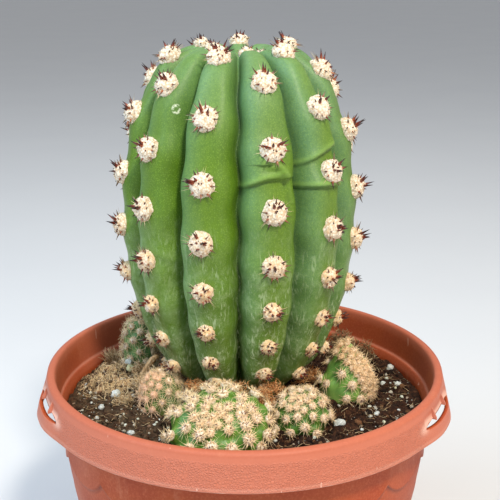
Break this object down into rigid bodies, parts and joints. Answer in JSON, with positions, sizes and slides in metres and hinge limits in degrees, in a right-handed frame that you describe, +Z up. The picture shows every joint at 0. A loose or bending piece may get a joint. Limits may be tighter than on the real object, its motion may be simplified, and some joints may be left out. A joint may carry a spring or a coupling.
{
  "type": "potted columnar cactus",
  "caption": "Stout ribbed columnar cactus with woolly, spined areoles and young offsets round its foot, in a wide round plastic pot with a flared skirt.",
  "frame": {"origin": "centre of the pot's foot, on the plane that it stands on", "axes": "+Z up along the plant, -Y towards the side where most of the offsets stand, +X to the right as seen from there"},
  "size_m": [0.22, 0.2224, 0.3143],
  "materials": {
    "pot_plastic": "matte with a fine leather grain, terracotta colour",
    "soil": "loose and crumbly, with white perlite",
    "stem": "waxy green skin, cream wool and dark spines",
    "offset": "waxy bright green skin, cream wool and bristles",
    "dry_growth": "dry and fibrous, straw to brown"
  },
  "bodies": {
    "root": {"pot": "pot_plastic", "soil": "soil", "stem": "stem", "offset_front": "offset", "offset_front_right": "offset", "offset_right": "offset", "offset_left_back": "offset", "offset_left": "offset", "dry_mat": "dry_growth", "dry_tuft": "dry_growth", "dry_flower_stub": "dry_growth"}
  },
  "joints": []
}
